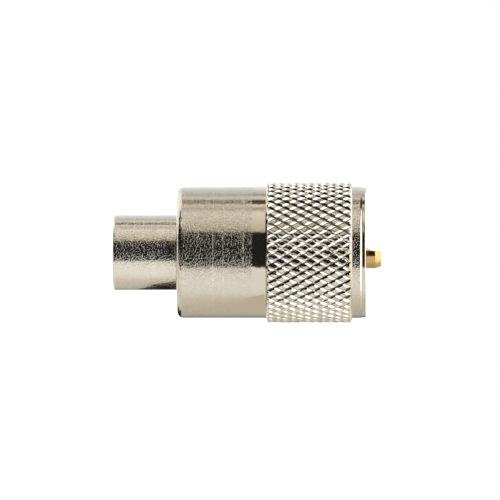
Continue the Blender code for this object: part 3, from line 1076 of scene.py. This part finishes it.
def view_around(tree, angle, stops):
    """The colour at an angle from -pi to pi, with straight slopes between the stops."""
    place = add_node(tree, "MapRange", {"Value": angle, "From Min": -math.pi, "From Max": math.pi})
    ramp = add_node(tree, "ValToRGB", {"Fac": place.outputs["Result"]})
    elements = ramp.color_ramp.elements
    while len(elements) > 1:
        elements.remove(elements[-1])
    for index, (degrees, *seen) in enumerate(stops):
        position = (degrees + 180) / 360
        element = elements[0] if index == 0 else elements.new(position)
        element.position = position
        element.color = (*seen, 1.0)
    return ramp.outputs["Color"]


# Strength of the plain white light that the surroundings give to what is matt
MATT_LIGHT = 0.6


def studio_world():
    """Three surroundings in one: the views for the metal to mirror, plain light for what is matt, and white
    for the camera."""
    world = bpy.data.worlds.new("studio_surroundings")
    world.use_nodes = True
    world.cycles.sampling_method = "NONE"
    tree = world.node_tree
    tree.nodes.clear()
    direction = add_node(tree, "TexCoord").outputs["Generated"]
    axes = add_node(tree, "SeparateXYZ", {"Vector": direction})
    up = add_node(tree, "Math", {0: axes.outputs["X"], 1: -1.0}, operation="MULTIPLY")
    toward = add_node(tree, "Math", {0: axes.outputs["Y"], 1: -1.0}, operation="MULTIPLY")
    angle = add_node(tree, "Math", {0: up.outputs["Value"], 1: toward.outputs["Value"]}, operation="ARCTAN2")
    angle = angle.outputs["Value"]
    seen = view_around(tree, angle, FRONT_VIEW)
    for begins, full, stops in SIDE_VIEWS:
        side = add_node(tree, "MapRange", {"Value": axes.outputs["Z"], "From Min": begins, "From Max": full})
        mixed = add_node(
            tree,
            "Mix",
            {"Factor": side.outputs["Result"], "A": seen, "B": view_around(tree, angle, stops)},
            data_type="RGBA",
        )
        seen = mixed.outputs[2]
    metal = add_node(tree, "Background", {"Color": seen, "Strength": 1.0})
    matt = add_node(tree, "Background", {"Color": (1, 1, 1, 1), "Strength": MATT_LIGHT})
    white = add_node(tree, "Background", {"Color": (1, 1, 1, 1), "Strength": 1.0})
    path = add_node(tree, "LightPath")
    lit = add_node(
        tree,
        "MixShader",
        {0: path.outputs["Is Diffuse Ray"], 1: metal.outputs["Background"], 2: matt.outputs["Background"]},
    )
    mixed = add_node(
        tree,
        "MixShader",
        {0: path.outputs["Is Camera Ray"], 1: lit.outputs["Shader"], 2: white.outputs["Background"]},
    )
    output = add_node(tree, "OutputWorld", {"Surface": mixed.outputs["Shader"]})
    output.is_active_output = True
    bpy.context.scene.world = world


# Corners of two glowing patches that paint the table under the plug into the metal's reflections, painted
# shadow under the tail and painted shade under the ring, as (depth, height) in millimetres: the depth counts
# away from the camera, and the height along the plug from its cable end
PAINTED_SHADOW_UNDER_TAIL = ((-2.5, 8.3), (0.3, 4.8), (8.0, 2.9), (18.0, 2.5), (18.0, 8.3))
PAINTED_SHADE_UNDER_RING = ((-3.9, 11.8), (-7.3, 19.5), (-2.8, 19.5), (-2.8, 11.8))


def painted_table_reflection(name, drop, corners, shade):
    """A glowing patch that only the metal mirrors: a painted reflection of the shaded table under the plug,
    as if the plug lay on it.
    """
    bm = bmesh.new()
    bm.faces.new([bm.verts.new((drop, depth * MM, height * MM)) for depth, height in corners])
    patch = add_object(name, bm)
    finish = bpy.data.materials.new(name)
    finish.use_nodes = True
    tree = finish.node_tree
    tree.nodes.remove(tree.nodes["Principled BSDF"])
    # The patch glows with its own colour, which paints the table's shadow and shade into reflections without
    # any lamp
    glow = add_node(tree, "Emission", {"Color": shade, "Strength": 1.0})
    tree.links.new(glow.outputs["Emission"], tree.nodes["Material Output"].inputs["Surface"])
    patch.data.materials.append(finish)
    patch.visible_camera = False
    patch.visible_diffuse = False
    patch.visible_shadow = False


def softbox(name, place, size, power):
    """A square lamp that points at the plug and lights only what is matt."""
    lamp = bpy.data.lights.new(name, "AREA")
    lamp.size = size
    lamp.energy = power
    item = bpy.data.objects.new(name, lamp)
    item.location = place
    item.rotation_euler = (-Vector(place)).to_track_quat("-Z", "Y").to_euler()
    item.visible_glossy = False
    bpy.context.scene.collection.objects.link(item)


# Half the floor's width in metres, and the width of the camera's sensor in millimetres
FLOOR_HALF = 20.0
SENSOR_WIDTH = 36.0


class OBJECT_OT_uhf_stage(bpy.types.Operator):
    """Set the floor, the lamps, the surroundings and the camera"""

    bl_idname = "object.uhf_stage"
    bl_label = "Stage"

    def execute(self, context):
        stage = context.scene.uhf_stage
        bm = bmesh.new()
        bmesh.ops.create_grid(bm, x_segments=1, y_segments=1, size=FLOOR_HALF)
        board = add_object("floor_board", bm)
        board.data.materials.append(floor_finish())
        board.visible_glossy = False
        # Painted shadow on the table beside the ring, which the tail mirrors
        painted_table_reflection("painted_shadow_under_tail", stage.table_drop, PAINTED_SHADOW_UNDER_TAIL, stage.painted_table_shadow)
        # Painted shade of the table, which the ring mirrors
        painted_table_reflection("painted_shade_under_ring", stage.table_drop, PAINTED_SHADE_UNDER_RING, stage.painted_table_shade)
        studio_world()
        softbox("key_softbox", place=(-0.5, -0.4, 0.5), size=0.5, power=8.0)
        softbox("fill_softbox", place=(0.5, 0.4, 0.7), size=0.7, power=6.0)
        camera = bpy.data.objects.new("camera", bpy.data.cameras.new("camera"))
        place = Vector((stage.middle_side, -stage.camera_distance, stage.camera_height))
        forward = (Vector((stage.middle_side, 0.0, stage.middle_height)) - place).normalized()
        top_of_picture = Vector((-1.0, 0.0, 0.0))
        right = forward.cross(top_of_picture).normalized()
        up = right.cross(forward)
        camera.matrix_world = Matrix.Translation(place) @ Matrix((right, up, -forward)).transposed().to_4x4()
        camera.data.sensor_width = SENSOR_WIDTH
        camera.data.lens = SENSOR_WIDTH * stage.camera_distance / stage.view_width
        camera.data.clip_start = 0.01
        camera.data.clip_end = 50.0
        context.scene.collection.objects.link(camera)
        context.scene.camera = camera
        context.scene.view_settings.view_transform = "Standard"
        return {"FINISHED"}


class VIEW3D_PT_uhf_plug(bpy.types.Panel):
    """Panel that lists the pieces and the stage"""

    bl_idname = "VIEW3D_PT_uhf_plug"
    bl_label = "UHF Plug"
    bl_space_type = "VIEW_3D"
    bl_region_type = "UI"
    bl_category = "UHF Plug"

    def draw(self, context):
        layout = self.layout
        for operator in OPERATORS:
            layout.operator(operator.bl_idname)
        for name, group in GROUPS.items():
            box = layout.box()
            box.label(text=name.replace("_", " "))
            for key in group.__annotations__:
                box.prop(getattr(context.scene, name), key)


GROUPS = {
    "uhf_ring": UhfRingSizes,
    "uhf_knurl": UhfKnurlSizes,
    "uhf_body": UhfBodySizes,
    "uhf_inner": UhfInnerSizes,
    "uhf_finishes": UhfFinishes,
    "uhf_stage": UhfStage,
}
OPERATORS = (
    OBJECT_OT_uhf_stage,
    OBJECT_OT_uhf_coupling_ring,
    OBJECT_OT_uhf_connector_body,
    OBJECT_OT_uhf_insulator,
    OBJECT_OT_uhf_center_contact,
)
CLASSES = (*GROUPS.values(), *OPERATORS, VIEW3D_PT_uhf_plug)


def register():
    for cls in CLASSES:
        bpy.utils.register_class(cls)
    for name, group in GROUPS.items():
        setattr(bpy.types.Scene, name, bpy.props.PointerProperty(type=group))


def unregister():
    for name in GROUPS:
        delattr(bpy.types.Scene, name)
    for cls in reversed(CLASSES):
        bpy.utils.unregister_class(cls)


def main():
    """Registers the add-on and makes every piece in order."""
    register()
    bpy.ops.object.uhf_stage()
    bpy.ops.object.uhf_coupling_ring()
    bpy.ops.object.uhf_connector_body()
    bpy.ops.object.uhf_insulator()
    bpy.ops.object.uhf_center_contact()


if __name__ == "__main__":
    main()
